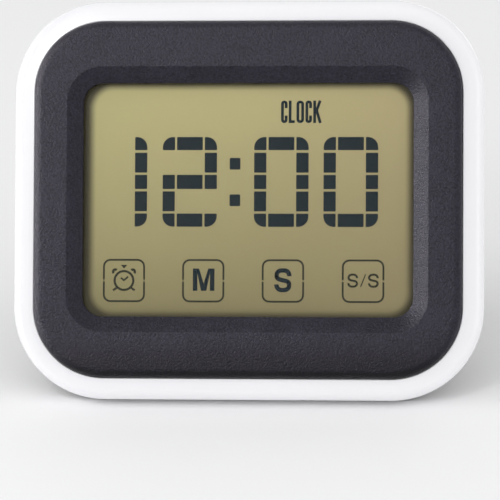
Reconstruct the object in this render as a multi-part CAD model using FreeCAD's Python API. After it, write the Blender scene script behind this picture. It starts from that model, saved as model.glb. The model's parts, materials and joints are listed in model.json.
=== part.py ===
import FreeCAD, Part
import math
import os

V = FreeCAD.Vector

# Touch-key desk clock on a folding stand.
# The case is described upright: X to the right seen from the front, Y from the front to the back
# with 0 at the seam between the two case halves, Z up from the bottom of the rim.
# At the end the whole clock is leaned back on its open stand.

# ---- case outline ----
CASE_W = 112.0
CASE_H = 95.0
CASE_CORNER = 22.0
WALL = 2.2

# ---- white rim ----
RIM_EDGE = 7.0            # height of the rim's outer edge in front of the seam, before rounding
RIM_ROUND = 2.8
RIM_BAND = 5.05           # width of the white band seen from the front
RIM_RISE = 0.8            # how much the band rises towards the bezel
LEDGE_FRONT = 4.2         # the ledge that carries the bezel, in front of the seam
LEDGE_T = 1.8
LEDGE_REACH = 9.5         # from the outer face of the rim to the ledge's inner edge
LEDGE_GAP = 0.4           # the ledge keeps this far off the display holder and the board's posts
POST_R = 3.0
POST_END = 1.2            # the screw posts end this far behind the seam
POST_BORE_CAP = 0.9       # the ledge keeps this much in front of each screw's bore

# ---- bezel ----
BEZEL_GAP = 0.1
BEZEL_PROUD = 2.15        # bezel's flat front above the rim's band
BEZEL_ROUND = 2.1
BEZEL_WALL = 1.8
RECESS_W = 85.8
RECESS_H = 63.1
RECESS_CORNER = 8.4
WINDOW_W = 78.7
WINDOW_H = 55.6
WINDOW_CORNER = 4.8
WINDOW_DROP = 0.05        # the window's centre lies this far below the case's centre
BEVEL_DEPTH = 2.65
LIP_T = 0.8
POCKET_MARGIN = 1.0       # bezel's inner ring stands this far outside the recess

# ---- display stack, from front to back ----
TAPE_T = 0.2
LENS_T = 1.2
LENS_OVERLAP = 2.6        # the clear window reaches this far behind the lip
FILM_T = 0.25
GLASS_T = 1.0
REFLECTOR_T = 0.25
HOLDER_T = 1.0
STACK_GAP = 0.3           # sideways play round the window pane
LCD_SIDE = 1.9            # the display reaches this far past the window at each side,
LCD_ABOVE = 1.45          # above it,
LCD_BELOW = 5.05          # and below it, contact ledge included
LCD_LEDGE = 5.0
STRIP_W = 72.0
STRIP_H = 2.4
TAIL_W = 10.0
TAIL_T = 0.15
HOLDER_RAIL = 1.4         # width of the holder's side rails
HOLDER_PLAY = 0.1         # play between a rail and the display
HOLDER_OPEN_W = 41.0      # opening in the middle of the holder
HOLDER_OPEN_H = 28.3
RAIL_END = 7.1            # the rails stop this far from the holder's top and bottom
SPACER_W = 4.4            # square spacers from the holder down to the board
SPACER_IN = 4.6           # from the board's sides to their middles

# ---- circuit board ----
BOARD_FRONT = 0.5         # behind the seam
BOARD_T = 1.6
BOARD_POST_GAP = 2.2      # between the board's sides and the case's screw posts
BOARD_EDGE = 2.4          # from the board screws to the board's lower and upper edges
BOARD_SCREW_X = 26.0
BOARD_SCREW_TOP = 12.2    # upper board screws, from the case's top
BOARD_POST_DROP = 0.1     # between the display's lower edge and the lower board posts
BOARD_SCREW_R = 1.0
BOARD_SCREW_HEAD_R = 2.0
BOARD_SCREW_HEAD_H = 1.0
BOARD_SCREW_L = 4.2
BOARD_POST_R = 2.2
CHIP_R = 6.5
CHIP_H = 1.8
CRYSTAL_R = 1.0
CRYSTAL_L = 6.5
CRYSTAL_X = 13.0
CAP_R = 2.5
CAP_H = 6.5
CAP_X = -15.5
CHIP_CAP_W = 2.0          # three chip capacitors in a row above the controller
CHIP_CAP_D = 1.2
CHIP_CAP_H = 1.0
CHIP_CAP_PITCH = 6.5
CHIP_CAP_GAP = 3.0

# ---- rear housing: tray and box ----
REVEAL = 0.7              # the tray is this much smaller than the rim all round
TRAY_SIDE = 2.0
TRAY_SLOPE_IN = 10.6
TRAY_DEPTH = 7.2
TRAY_ROUND = 2.6
LIP_IN = 0.15             # play of the locating lip inside the rim
LIP_WIDTH = 1.4
LIP_DEPTH = 1.5
BOX_HALF_W = 38.0
BOX_BACK = 24.3
BOX_TOP_FRONT = 86.8      # height of the box's sloping top where it would meet the seam
BOX_TOP_FALL = 0.277      # drop of the top per unit of depth
BOX_FOOT = 6.4            # height of the box's sloping underside where it would meet the seam
BOX_FOOT_RISE = 0.37
BOX_EDGE_ROUND = 4.5
BACK_EDGE_ROUND = 0.8
TRAY_HOLLOW_IN = 0.66     # the tray's inner slope starts this far behind the seam and further in
SCREW_IN = 8.2            # the case screws' axes, in from the outer face on the corners' diagonals
SCREW_R = 1.1
SCREW_HEAD_R = 2.1
SCREW_HEAD_H = 1.5
SCREW_SEAT = 3.6          # depth behind the seam where the heads sit
SCREW_L = 6.0
SCREW_PLAY = 0.1

# ---- stand ----
LEG_W = 8.2
LEG_T = 2.4
STAND_LENGTH = 51.5       # hinge axis to foot
CROSSBAR_T = 2.6
STAND_OPEN = 45.4         # degrees from folded
HINGE_Z = 64.5
STAND_GAP = 0.35          # play between the stand and the housing
LEG_GAP = 0.3
STAND_INNER_ROUND = 2.4
BOSS_R = 4.0
BOSS_T = 1.5
PIN_R = 2.3
PIN_PLAY = 0.05
PIN_LENGTH = 2.0
HINGE_POCKET = 8.2        # the pocket round the hinge reaches this far below the axis

# ---- batteries (AAA) and their compartment ----
CELL_R = 5.25
CELL_L = 44.5
CELL_NUB_R = 1.9
CELL_NUB_L = 1.2
CELL_PITCH = 11.2
CELL_PLAY = 0.55
CONTACT_T = 0.4
CONTACT_W = 8.6
SPRING_WIRE_R = 0.35
SPRING_TURNS = 3
SPRING_SIDES = 10         # straight runs in each turn
SPRING_ROOM = 5.7
COMPARTMENT_Z = 40.4
CELL_BACK_PLAY = 0.15
CELL_EDGE = 0.6
TAB_W = 2.6               # the contacts' solder tabs
TAB_L = 3.2
TAB_PLAY = 0.1
TUB_WALL = 1.6
SEAT_WALL = 1.9           # thickness of the seat that the door closes on

# ---- battery door ----
DOOR_T = 2.4
DOOR_GAP = 0.3
DOOR_SEAT_GAP = 0.1
DOOR_OVERLAP = 2.8        # the door reaches this far past the compartment on each side
DOOR_LAP = 1.5            # and this far above and below it
DOOR_PIN_R = 0.6
DOOR_PIN_L = 1.2
TONGUE_W = 14.0
TONGUE_T = 0.8
TONGUE_H = 2.1
THUMB_R = 7.0
THUMB_DEPTH = 1.0
GRIP_W = 14.0             # finger grooves in the door
GRIP_R = 0.6
GRIP_TOP = 5.9            # from the door's top to the first groove
RIB_PITCH = 2.4
RIB_COUNT = 4

# ---- buzzer ----
BUZZER_R = 9.0
BUZZER_T = 0.5
BUZZER_Z = 68.4
BUZZER_RING = 1.4
CERAMIC_R = 6.3
SOUND_HOLE_R = 0.75
SOUND_RING_R = 3.4
SOUND_HOLES = 6
WIRE_R = 0.45
WIRE_END_GAP = 0.05       # solder between a wire's end and what it is joined to
WIRE_TAB_DROP = 2.4       # battery wires leave the tabs this far in front of the tub's floor
WIRE_RISE = 6.3
BUZZER_WIRE_X = 2.5
BUZZER_WIRE_SPREAD = 2.5

# ---- sizes that follow ----
CENTRE_Z = CASE_H / 2
WINDOW_Z = CENTRE_Z - WINDOW_DROP
BAND_FRONT = RIM_EDGE + RIM_RISE
BEZEL_FRONT = BAND_FRONT + BEZEL_PROUD
BEZEL_IN = RIM_BAND + BEZEL_GAP
BEVEL_END = BEZEL_FRONT - BEVEL_DEPTH
LIP_BACK = BEVEL_END - LIP_T
LENS_FRONT = LIP_BACK - TAPE_T
FILM_FRONT = LENS_FRONT - LENS_T
LCD_FRONT = FILM_FRONT - FILM_T
REAR_GLASS_FRONT = LCD_FRONT - GLASS_T
REFLECTOR_FRONT = REAR_GLASS_FRONT - GLASS_T
HOLDER_FRONT = REFLECTOR_FRONT - REFLECTOR_T
HOLDER_BACK = HOLDER_FRONT - HOLDER_T
BOARD_BACK = BOARD_FRONT + BOARD_T
TRAY_INNER = TRAY_DEPTH - WALL
HINGE_Y = BOX_BACK - LEG_W / 2
LEG_IN = BOX_HALF_W - LEG_T
CHANNEL_FLOOR = LEG_IN - LEG_GAP
CHANNEL_R = LEG_W / 2 + STAND_GAP
CHANNEL_FRONT = HINGE_Y - CHANNEL_R
BACK_FOOT = HINGE_Z - STAND_LENGTH + CROSSBAR_T + STAND_GAP
LCD_HALF_W = WINDOW_W / 2 + LCD_SIDE
LCD_TOP = WINDOW_H / 2 + LCD_ABOVE
LCD_BOTTOM = WINDOW_H / 2 + LCD_BELOW
HOLDER_HALF_W = LCD_HALF_W + HOLDER_PLAY + HOLDER_RAIL
SCREW_BACK = CASE_CORNER - (CASE_CORNER - SCREW_IN) * math.sqrt(0.5)
POST_X = CASE_W / 2 - SCREW_BACK
POST_Z = CASE_H / 2 - SCREW_BACK
BOARD_HALF_W = POST_X - POST_R - BOARD_POST_GAP
BOARD_SCREW_LOW = WINDOW_Z - LCD_BOTTOM - BOARD_POST_DROP - BOARD_POST_R
BOARD_SCREW_HIGH = CASE_H - BOARD_SCREW_TOP
POCKET_FLOOR = LEG_IN - BOSS_T - LEG_GAP
CAVITY_X = CHANNEL_FLOOR - WALL
BACK_INNER = BOX_BACK - WALL
DOOR_INNER = BOX_BACK - DOOR_T
SEAT_Y = DOOR_INNER - DOOR_SEAT_GAP
CELL_Y = DOOR_INNER - CELL_BACK_PLAY - CELL_R
TUB_FLOOR = CELL_Y - CELL_R
TUB_HALF_W = (CELL_L + SPRING_ROOM + 2 * CONTACT_T) / 2
TUB_HALF_H = CELL_PITCH / 2 + CELL_R + CELL_PLAY
DOOR_HALF_W = TUB_HALF_W + DOOR_OVERLAP
DOOR_HALF_H = TUB_HALF_H + DOOR_LAP
DOOR_PIVOT_Y = BOX_BACK - DOOR_T / 2
DOOR_PIVOT_Z = COMPARTMENT_Z - DOOR_HALF_H + DOOR_T / 2
OVER = 5.0                # how far cutting tools run past what they cut


def outline(width, height, corner, centre_z, y):
    """A rounded rectangle in an upright plane at depth y."""
    x = width / 2
    low = centre_z - height / 2
    high = centre_z + height / 2
    s = corner * (1 - math.sqrt(0.5))
    points = [(-x + corner, low), (x - corner, low), (x, low + corner), (x, high - corner),
              (x - corner, high), (-x + corner, high), (-x, high - corner), (-x, low + corner)]
    middles = [(x - s, low + s), (x - s, high - s), (-x + s, high - s), (-x + s, low + s)]
    at = [V(px, y, pz) for px, pz in points]
    edges = []
    for i in range(4):
        start, end = at[2 * i], at[2 * i + 1]
        after = at[(2 * i + 2) % 8]
        edges.append(Part.makeLine(start, end))
        edges.append(Part.Arc(end, V(middles[i][0], y, middles[i][1]), after).toShape())
    return Part.Wire(edges)


def slab(width, height, corner, centre_z, y0, y1):
    face = Part.Face(outline(width, height, corner, centre_z, y0))
    return face.extrude(V(0, y1 - y0, 0))


def case_slab(inset, y0, y1):
    """A slab with the case's outline, drawn in by an inset."""
    return slab(CASE_W - 2 * inset, CASE_H - 2 * inset, CASE_CORNER - inset, CENTRE_Z, y0, y1)


def block(x0, x1, y0, y1, z0, z1):
    return Part.makeBox(x1 - x0, y1 - y0, z1 - z0, V(x0, y0, z0))


def rod(radius, start, end):
    """A cylinder from one point to another."""
    way = end.sub(start)
    return Part.makeCylinder(radius, way.Length, start, way)


def along_y(radius, x, z, y0, y1):
    return rod(radius, V(x, y0, z), V(x, y1, z))


def six_sided(radius, centre, along, beside):
    """A hexagon across a direction, one corner at right angles to it and to another."""
    corner = along.cross(beside).normalize().multiply(radius)
    return Part.makePolygon([centre.add(FreeCAD.Rotation(along, 60 * i).multVec(corner))
                             for i in range(7)])


def prism_x(points, x0, x1):
    """A side profile of (y, z) points, carried across from x0 to x1."""
    wire = Part.makePolygon([V(x0, y, z) for y, z in points + points[:1]])
    return Part.Face(wire).extrude(V(x1 - x0, 0, 0))


def carried_ring(points):
    """A profile of (inset, y) points carried round the case's outline: four runs, four corners."""
    x = CASE_W / 2
    run_x = x - CASE_CORNER
    run_z = CENTRE_Z - CASE_CORNER
    closed = points + points[:1]
    side = Part.Face(Part.makePolygon([V(x - n, y, CENTRE_Z - run_z) for n, y in closed]))
    top = Part.Face(Part.makePolygon([V(-run_x, y, CASE_H - n) for n, y in closed]))
    right = side.extrude(V(0, 0, 2 * run_z))
    upper = top.extrude(V(2 * run_x, 0, 0))
    pieces = [right, upper, right.mirror(V(0, 0, 0), V(1, 0, 0)),
              upper.mirror(V(0, 0, CENTRE_Z), V(0, 0, 1))]
    corner = side.copy()
    corner.translate(V(0, 0, 2 * run_z))
    quarter = corner.revolve(V(run_x, 0, CENTRE_Z + run_z), V(0, -1, 0), 90)
    lower = quarter.mirror(V(0, 0, CENTRE_Z), V(0, 0, 1))
    pieces += [quarter, lower]
    pieces += [piece.mirror(V(0, 0, 0), V(1, 0, 0)) for piece in (quarter, lower)]
    return pieces[0].fuse(pieces[1:]).removeSplitter()


def edges_where(shape, test):
    return [edge for edge in shape.Edges if test(edge.BoundBox)]


def level(box, y):
    """Whether an edge lies flat at depth y."""
    return abs(box.YMin - y) < 1e-4 and abs(box.YMax - y) < 1e-4


def case_corners():
    """The four case screws, on the diagonals of the corners."""
    return [(sx * POST_X, CENTRE_Z + sz * POST_Z) for sx in (-1, 1) for sz in (-1, 1)]


def board_corners():
    return [(side * BOARD_SCREW_X, z) for side in (-1, 1)
            for z in (BOARD_SCREW_LOW, BOARD_SCREW_HIGH)]


def front_frame():
    profile = [(0, 0), (0, -RIM_EDGE), (RIM_BAND, -BAND_FRONT), (RIM_BAND, -LEDGE_FRONT),
               (LEDGE_REACH, -LEDGE_FRONT), (LEDGE_REACH, -LEDGE_FRONT + LEDGE_T),
               (WALL, -LEDGE_FRONT + LEDGE_T), (WALL, 0)]
    ring = carried_ring(profile)
    ring = ring.makeFillet(RIM_ROUND, edges_where(ring, lambda b: level(b, -RIM_EDGE)))
    beside = HOLDER_HALF_W + LEDGE_GAP
    clear = [along_y(BOARD_POST_R + LEDGE_GAP, x, z, -LEDGE_FRONT - OVER, OVER)
             for x, z in board_corners()]
    clear.append(block(-beside, beside, -LEDGE_FRONT - OVER, OVER,
                       WINDOW_Z - LCD_BOTTOM, WINDOW_Z + LCD_TOP))
    ring = ring.cut(clear)
    posts = [along_y(POST_R, x, z, -LEDGE_FRONT, POST_END) for x, z in case_corners()]
    holes = [along_y(SCREW_R, x, z, -LEDGE_FRONT + POST_BORE_CAP, POST_END + OVER)
             for x, z in case_corners()]
    return ring.fuse(posts).cut(holes)


def bezel():
    width = CASE_W - 2 * BEZEL_IN
    body = case_slab(BEZEL_IN, -LEDGE_FRONT, -BEZEL_FRONT)
    body = body.makeFillet(BEZEL_ROUND, edges_where(body, lambda b: level(b, -BEZEL_FRONT)))
    hollow = case_slab(BEZEL_IN + BEZEL_WALL, -LEDGE_FRONT + OVER, -BEZEL_FRONT + BEZEL_WALL)
    ring_w = RECESS_W + 2 * POCKET_MARGIN
    ring_h = RECESS_H + 2 * POCKET_MARGIN
    ring = slab(ring_w, ring_h, RECESS_CORNER + POCKET_MARGIN, WINDOW_Z,
                -LCD_FRONT, -BEZEL_FRONT + BEZEL_WALL)
    body = body.cut(hollow).fuse(ring)
    recess = Part.makeLoft([outline(RECESS_W, RECESS_H, RECESS_CORNER, WINDOW_Z, -BEZEL_FRONT),
                            outline(WINDOW_W, WINDOW_H, WINDOW_CORNER, WINDOW_Z, -BEVEL_END)],
                           True, True)
    window = slab(WINDOW_W, WINDOW_H, WINDOW_CORNER, WINDOW_Z, -BEVEL_END, 0)
    seat = lens_slab(STACK_GAP, -LIP_BACK, 0)
    tail_slot = block(-TAIL_W / 2 - STACK_GAP, TAIL_W / 2 + STACK_GAP, -FILM_FRONT, 0,
                      WINDOW_Z - ring_h / 2 - OVER, WINDOW_Z - WINDOW_H / 2)
    body = body.cut([recess, window, seat, tail_slot])
    posts = [along_y(BOARD_POST_R, x, z, -BEZEL_FRONT + BEZEL_WALL, BOARD_FRONT)
             for x, z in board_corners()]
    holes = [along_y(BOARD_SCREW_R, x, z, -LEDGE_FRONT, BOARD_FRONT + OVER)
             for x, z in board_corners()]
    return body.fuse(posts).cut(holes)


def lens_slab(grow, y0, y1):
    """The window pane's outline, grown all round."""
    margin = 2 * (LENS_OVERLAP + grow)
    return slab(WINDOW_W + margin, WINDOW_H + margin, WINDOW_CORNER + LENS_OVERLAP + grow,
                WINDOW_Z, y0, y1)


def window_tape():
    open_margin = LENS_OVERLAP / 2
    hole = slab(WINDOW_W + open_margin, WINDOW_H + open_margin, WINDOW_CORNER + open_margin / 2,
                WINDOW_Z, -LIP_BACK - OVER, OVER)
    return lens_slab(0, -LIP_BACK, -LENS_FRONT).cut(hole)


def display_window():
    return lens_slab(0, -LENS_FRONT, -FILM_FRONT)


def touch_film():
    return lens_slab(0, -FILM_FRONT, -LCD_FRONT)


def touch_tail():
    """A flexible strip: down from the film, back under the display, and flat on the board."""
    film_low = WINDOW_Z - WINDOW_H / 2 - LENS_OVERLAP
    under = WINDOW_Z - LCD_BOTTOM - STACK_GAP
    foot = under - STRIP_H
    front = -FILM_FRONT + TAIL_T
    return prism_x([(front - TAIL_T, film_low), (front, film_low), (front, under),
                    (BOARD_FRONT, under), (BOARD_FRONT, foot), (BOARD_FRONT - TAIL_T, foot),
                    (BOARD_FRONT - TAIL_T, under - TAIL_T), (front - TAIL_T, under - TAIL_T)],
                   -TAIL_W / 2, TAIL_W / 2)


def lcd_plate(front, thickness, bottom):
    return block(-LCD_HALF_W, LCD_HALF_W, -front, -front + thickness,
                 WINDOW_Z - bottom, WINDOW_Z + LCD_TOP)


def lcd_contact_strip():
    low = WINDOW_Z - LCD_BOTTOM + (LCD_LEDGE - STRIP_H) / 2
    return block(-STRIP_W / 2, STRIP_W / 2, -REAR_GLASS_FRONT, BOARD_FRONT, low, low + STRIP_H)


def lcd_holder():
    """A plate behind the display with side rails and four spacers down to the board."""
    low = WINDOW_Z - LCD_BOTTOM + LCD_LEDGE
    high = WINDOW_Z + LCD_TOP
    plate = block(-HOLDER_HALF_W, HOLDER_HALF_W, -HOLDER_FRONT, -HOLDER_BACK, low, high)
    pieces = []
    half = SPACER_W / 2
    for side in (-1, 1):
        x0, x1 = sorted((side * (LCD_HALF_W + HOLDER_PLAY), side * HOLDER_HALF_W))
        pieces.append(block(x0, x1, -LCD_FRONT, -HOLDER_FRONT, low + RAIL_END, high - RAIL_END))
        x = side * (BOARD_HALF_W - SPACER_IN)
        for z in (low + RAIL_END, high - RAIL_END):
            pieces.append(block(x - half, x + half, -HOLDER_BACK, BOARD_FRONT, z - half, z + half))
    middle = (low + high) / 2
    opening = block(-HOLDER_OPEN_W / 2, HOLDER_OPEN_W / 2, -HOLDER_FRONT - OVER, OVER,
                    middle - HOLDER_OPEN_H / 2, middle + HOLDER_OPEN_H / 2)
    return plate.fuse(pieces).cut(opening)


def main_board():
    board = block(-BOARD_HALF_W, BOARD_HALF_W, BOARD_FRONT, BOARD_BACK,
                  BOARD_SCREW_LOW - BOARD_EDGE, BOARD_SCREW_HIGH + BOARD_EDGE)
    holes = [along_y(BOARD_SCREW_R + SCREW_PLAY, x, z, 0, BOARD_BACK + OVER)
             for x, z in board_corners()]
    return board.cut(holes)


def screw(radius, head_r, head_h, length, x, seat, z):
    """A plain screw with its head to the back and its tip to the front."""
    shank = along_y(radius, x, z, seat - length, seat)
    return shank.fuse(along_y(head_r, x, z, seat, seat + head_h))


def board_screws():
    radius = BOARD_SCREW_R - SCREW_PLAY / 2
    return [screw(radius, BOARD_SCREW_HEAD_R, BOARD_SCREW_HEAD_H, BOARD_SCREW_L, x, BOARD_BACK, z)
            for x, z in board_corners()]


def case_screws():
    radius = SCREW_R - SCREW_PLAY / 2
    return [screw(radius, SCREW_HEAD_R, SCREW_HEAD_H, SCREW_L, x, SCREW_SEAT, z)
            for x, z in case_corners()]


def controller_chip():
    """A black resin dome over the bonded chip."""
    radius = (CHIP_R ** 2 + CHIP_H ** 2) / (2 * CHIP_H)
    ball = Part.makeSphere(radius, V(0, BOARD_BACK + CHIP_H - radius, CENTRE_Z))
    return ball.common(block(-CHIP_R, CHIP_R, BOARD_BACK, BOARD_BACK + 2 * CHIP_H,
                             CENTRE_Z - CHIP_R, CENTRE_Z + CHIP_R))


def crystal():
    """A watch crystal can lying on the board."""
    y = BOARD_BACK + CRYSTAL_R
    return rod(CRYSTAL_R, V(CRYSTAL_X, y, CENTRE_Z), V(CRYSTAL_X, y, CENTRE_Z + CRYSTAL_L))


def board_capacitors():
    low = CENTRE_Z + CHIP_R + CHIP_CAP_GAP
    chips = [block(x, x + CHIP_CAP_W, BOARD_BACK, BOARD_BACK + CHIP_CAP_H, low, low + CHIP_CAP_D)
             for x in (-CHIP_CAP_PITCH, 0, CHIP_CAP_PITCH)]
    can = along_y(CAP_R, CAP_X, BUZZER_Z + CAP_R, BOARD_BACK, BOARD_BACK + CAP_H)
    return chips + [can]


def top_height(y):
    return BOX_TOP_FRONT - BOX_TOP_FALL * y


def foot_height(y):
    return BOX_FOOT + BOX_FOOT_RISE * y


def housing_outside():
    """The shallow tray behind the rim, and the deep box with its sloping top and underside."""
    profile = [(REVEAL, 0), (REVEAL, TRAY_SIDE), (TRAY_SLOPE_IN, TRAY_DEPTH),
               (CASE_CORNER - 1, TRAY_DEPTH), (CASE_CORNER - 1, 0)]
    tray = carried_ring(profile)
    tray = tray.makeFillet(TRAY_ROUND, edges_where(tray, lambda b: level(b, TRAY_SIDE)))
    tray = tray.fuse(case_slab(CASE_CORNER - 2, 0, TRAY_DEPTH))
    start = TRAY_SIDE
    box = prism_x([(start, top_height(start)), (BOX_BACK, top_height(BOX_BACK)),
                   (BOX_BACK, BACK_FOOT), (CHANNEL_FRONT, BACK_FOOT),
                   (CHANNEL_FRONT, foot_height(CHANNEL_FRONT)), (start, foot_height(start))],
                  -BOX_HALF_W, BOX_HALF_W)
    long_top = [edge for edge in box.Edges
                if edge.BoundBox.ZMin > top_height(BOX_BACK) - 1e-3 and edge.BoundBox.XLength < 1e-3]
    box = box.makeFillet(BOX_EDGE_ROUND, long_top)
    back_top = edges_where(box, lambda b: level(b, BOX_BACK) and b.ZMin > CASE_H / 2)
    box = box.makeFillet(BACK_EDGE_ROUND, back_top)
    return tray.fuse(box).removeSplitter()


def housing_inside():
    """The hollow: tray, box up to the channels, and box between the channels."""
    tray = carried_ring([(REVEAL + WALL, -OVER), (REVEAL + WALL, TRAY_HOLLOW_IN),
                         (TRAY_SLOPE_IN + TRAY_HOLLOW_IN, TRAY_INNER), (CASE_CORNER - 1, TRAY_INNER),
                         (CASE_CORNER - 1, -OVER)])
    centre = case_slab(CASE_CORNER - 2, -OVER, TRAY_INNER)
    wide_back = CHANNEL_FRONT - WALL
    wide = prism_x([(0, top_height(WALL) - WALL), (wide_back, top_height(wide_back) - WALL),
                    (wide_back, foot_height(wide_back) + WALL), (0, foot_height(WALL) + WALL)],
                   -BOX_HALF_W + WALL, BOX_HALF_W - WALL)
    narrow = prism_x([(0, top_height(WALL) - WALL), (BACK_INNER, top_height(BACK_INNER) - WALL),
                      (BACK_INNER, BACK_FOOT + WALL), (0, BACK_FOOT + WALL)], -CAVITY_X, CAVITY_X)
    rounded = wide.makeFillet(BOX_EDGE_ROUND - WALL / 2, edges_where(
        wide, lambda b: b.ZMin > top_height(BOX_BACK) - WALL and b.XLength < 1e-3))
    return tray.fuse([centre, rounded, narrow])


def stand_channel(side):
    """The channel for one leg, with a deeper pocket round the hinge."""
    x0, x1 = sorted((side * CHANNEL_FLOOR, side * (BOX_HALF_W + OVER)))
    run = block(x0, x1, CHANNEL_FRONT, BOX_BACK + OVER, 0, HINGE_Z)
    arch = rod(CHANNEL_R, V(x0, HINGE_Y, HINGE_Z), V(x1, HINGE_Y, HINGE_Z))
    p0, p1 = sorted((side * POCKET_FLOOR, side * (BOX_HALF_W + OVER)))
    pocket = block(p0, p1, CHANNEL_FRONT, BOX_BACK + OVER, HINGE_Z - HINGE_POCKET, HINGE_Z)
    round_top = rod(CHANNEL_R, V(p0, HINGE_Y, HINGE_Z), V(p1, HINGE_Y, HINGE_Z))
    return run.fuse([arch, pocket, round_top])


def tub_block(grow_x, grow_z, y0, y1):
    return block(-TUB_HALF_W - grow_x, TUB_HALF_W + grow_x, y0, y1,
                 COMPARTMENT_Z - TUB_HALF_H - grow_z, COMPARTMENT_Z + TUB_HALF_H + grow_z)


def contact_slots():
    """Slots in the tub's floor for the contacts' solder tabs."""
    half = TAB_W / 2 + TAB_PLAY
    x0 = TUB_HALF_W - CONTACT_T - TAB_PLAY
    return [block(x0, TUB_HALF_W, TUB_FLOOR - TUB_WALL - OVER, TUB_FLOOR + OVER, z - half, z + half)
            for z in cell_heights()]


def cell_heights():
    return (COMPARTMENT_Z - CELL_PITCH / 2, COMPARTMENT_Z + CELL_PITCH / 2)


def sound_holes():
    spots = [(0, BUZZER_Z)]
    for i in range(SOUND_HOLES):
        angle = 2 * math.pi * i / SOUND_HOLES
        spots.append((SOUND_RING_R * math.cos(angle), BUZZER_Z + SOUND_RING_R * math.sin(angle)))
    return [along_y(SOUND_HOLE_R, x, z, BACK_INNER - OVER / 2, BOX_BACK + OVER) for x, z in spots]


def rear_housing():
    shell = housing_outside().cut(housing_inside())
    lip_in = WALL + LIP_IN
    lip = carried_ring([(lip_in, -LIP_DEPTH), (lip_in + LIP_WIDTH, -LIP_DEPTH),
                        (lip_in + LIP_WIDTH, TRAY_SIDE), (lip_in, TRAY_SIDE)])
    lip_outer = housing_outside().fuse(case_slab(lip_in, -LIP_DEPTH, 0))
    pieces = [lip.common(lip_outer)]
    for x, z in case_corners():
        boss = along_y(SCREW_HEAD_R + WALL / 2 + SCREW_PLAY, x, z, POST_END, TRAY_DEPTH)
        pieces.append(boss.common(housing_outside()))
    for side in (-1, 1):
        x0, x1 = sorted((side * (POCKET_FLOOR - WALL), side * (CAVITY_X + WALL / 2)))
        pieces.append(block(x0, x1, CHANNEL_FRONT - WALL, BACK_INNER + WALL / 2,
                            HINGE_Z - HINGE_POCKET - WALL, HINGE_Z + CHANNEL_R + WALL))
    pieces.append(tub_block(TUB_WALL, TUB_WALL, TUB_FLOOR - TUB_WALL, BACK_INNER + WALL / 2))
    margin_x = DOOR_OVERLAP + DOOR_GAP + WALL
    margin_z = DOOR_LAP + DOOR_GAP + WALL
    pieces.append(tub_block(margin_x, margin_z, SEAT_Y - SEAT_WALL, BACK_INNER + WALL / 2))
    ring = along_y(BUZZER_R, 0, BUZZER_Z, BACK_INNER - BUZZER_RING, BACK_INNER + WALL / 2)
    pieces.append(ring.cut(along_y(BUZZER_R - WALL, 0, BUZZER_Z, 0, BOX_BACK + OVER)))
    shell = shell.fuse(pieces)
    cuts = [stand_channel(-1), stand_channel(1)]
    cuts.append(tub_block(0, 0, TUB_FLOOR, BOX_BACK + OVER))
    cuts.append(block(-DOOR_HALF_W - DOOR_GAP, DOOR_HALF_W + DOOR_GAP, SEAT_Y, BOX_BACK + OVER,
                      COMPARTMENT_Z - DOOR_HALF_H - DOOR_GAP, COMPARTMENT_Z + DOOR_HALF_H + DOOR_GAP))
    cuts += contact_slots()
    pin_end = DOOR_HALF_W + DOOR_PIN_L + DOOR_GAP
    cuts.append(rod(DOOR_PIN_R + PIN_PLAY, V(-pin_end, DOOR_PIVOT_Y, DOOR_PIVOT_Z),
                    V(pin_end, DOOR_PIVOT_Y, DOOR_PIVOT_Z)))
    cuts.append(rod(PIN_R + PIN_PLAY, V(-BOX_HALF_W, HINGE_Y, HINGE_Z), V(BOX_HALF_W, HINGE_Y, HINGE_Z)))
    thumb = Part.makeSphere(THUMB_R, V(0, BOX_BACK + THUMB_R - THUMB_DEPTH,
                                       COMPARTMENT_Z + DOOR_HALF_H + DOOR_GAP))
    cuts.append(thumb)
    cuts += sound_holes()
    for x, z in case_corners():
        cuts.append(along_y(SCREW_R + SCREW_PLAY, x, z, -OVER, TRAY_DEPTH + OVER))
        cuts.append(along_y(SCREW_HEAD_R + SCREW_PLAY, x, z, SCREW_SEAT, TRAY_DEPTH + OVER))
    shell = shell.cut(cuts)
    corner_round = STAND_INNER_ROUND + STAND_GAP
    feet = [edge for edge in shell.Edges if at_back_foot(edge.BoundBox)]
    return shell.makeFillet(corner_round, feet)


def at_back_foot(box):
    """The box's two lower corners between the channels, where the stand's crossbar folds round them."""
    low = abs(box.ZMin - BACK_FOOT) < 1e-3 and abs(box.ZMax - BACK_FOOT) < 1e-3
    side = abs(abs(box.XMin) - CHANNEL_FLOOR) < 1e-3 and box.XLength < 1e-3
    return low and side and box.YLength > CHANNEL_R


def stand():
    """The U-shaped stand drawn folded, then opened about its hinge."""
    foot = HINGE_Z - STAND_LENGTH
    front = HINGE_Y - LEG_W / 2
    bail = block(-BOX_HALF_W, BOX_HALF_W, front, front + LEG_W, foot, HINGE_Z)
    tops = rod(LEG_W / 2, V(-BOX_HALF_W, HINGE_Y, HINGE_Z), V(BOX_HALF_W, HINGE_Y, HINGE_Z))
    gap = block(-LEG_IN, LEG_IN, front - OVER, front + LEG_W + OVER, foot + CROSSBAR_T, HINGE_Z + OVER)
    corners = edges_where(gap, lambda b: b.YLength > LEG_W and b.ZMax < foot + CROSSBAR_T + 1e-3)
    gap = gap.makeFillet(STAND_INNER_ROUND, corners)
    bail = bail.fuse(tops).cut(gap)
    for side in (-1, 1):
        hub = V(side * LEG_IN, HINGE_Y, HINGE_Z)
        step = V(side * (LEG_IN - BOSS_T), HINGE_Y, HINGE_Z)
        tip = V(side * (LEG_IN - BOSS_T - PIN_LENGTH), HINGE_Y, HINGE_Z)
        bail = bail.fuse([rod(BOSS_R, hub, step), rod(PIN_R, step, tip)])
    bail.rotate(V(0, HINGE_Y, HINGE_Z), V(1, 0, 0), STAND_OPEN)
    return bail.removeSplitter()


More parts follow.
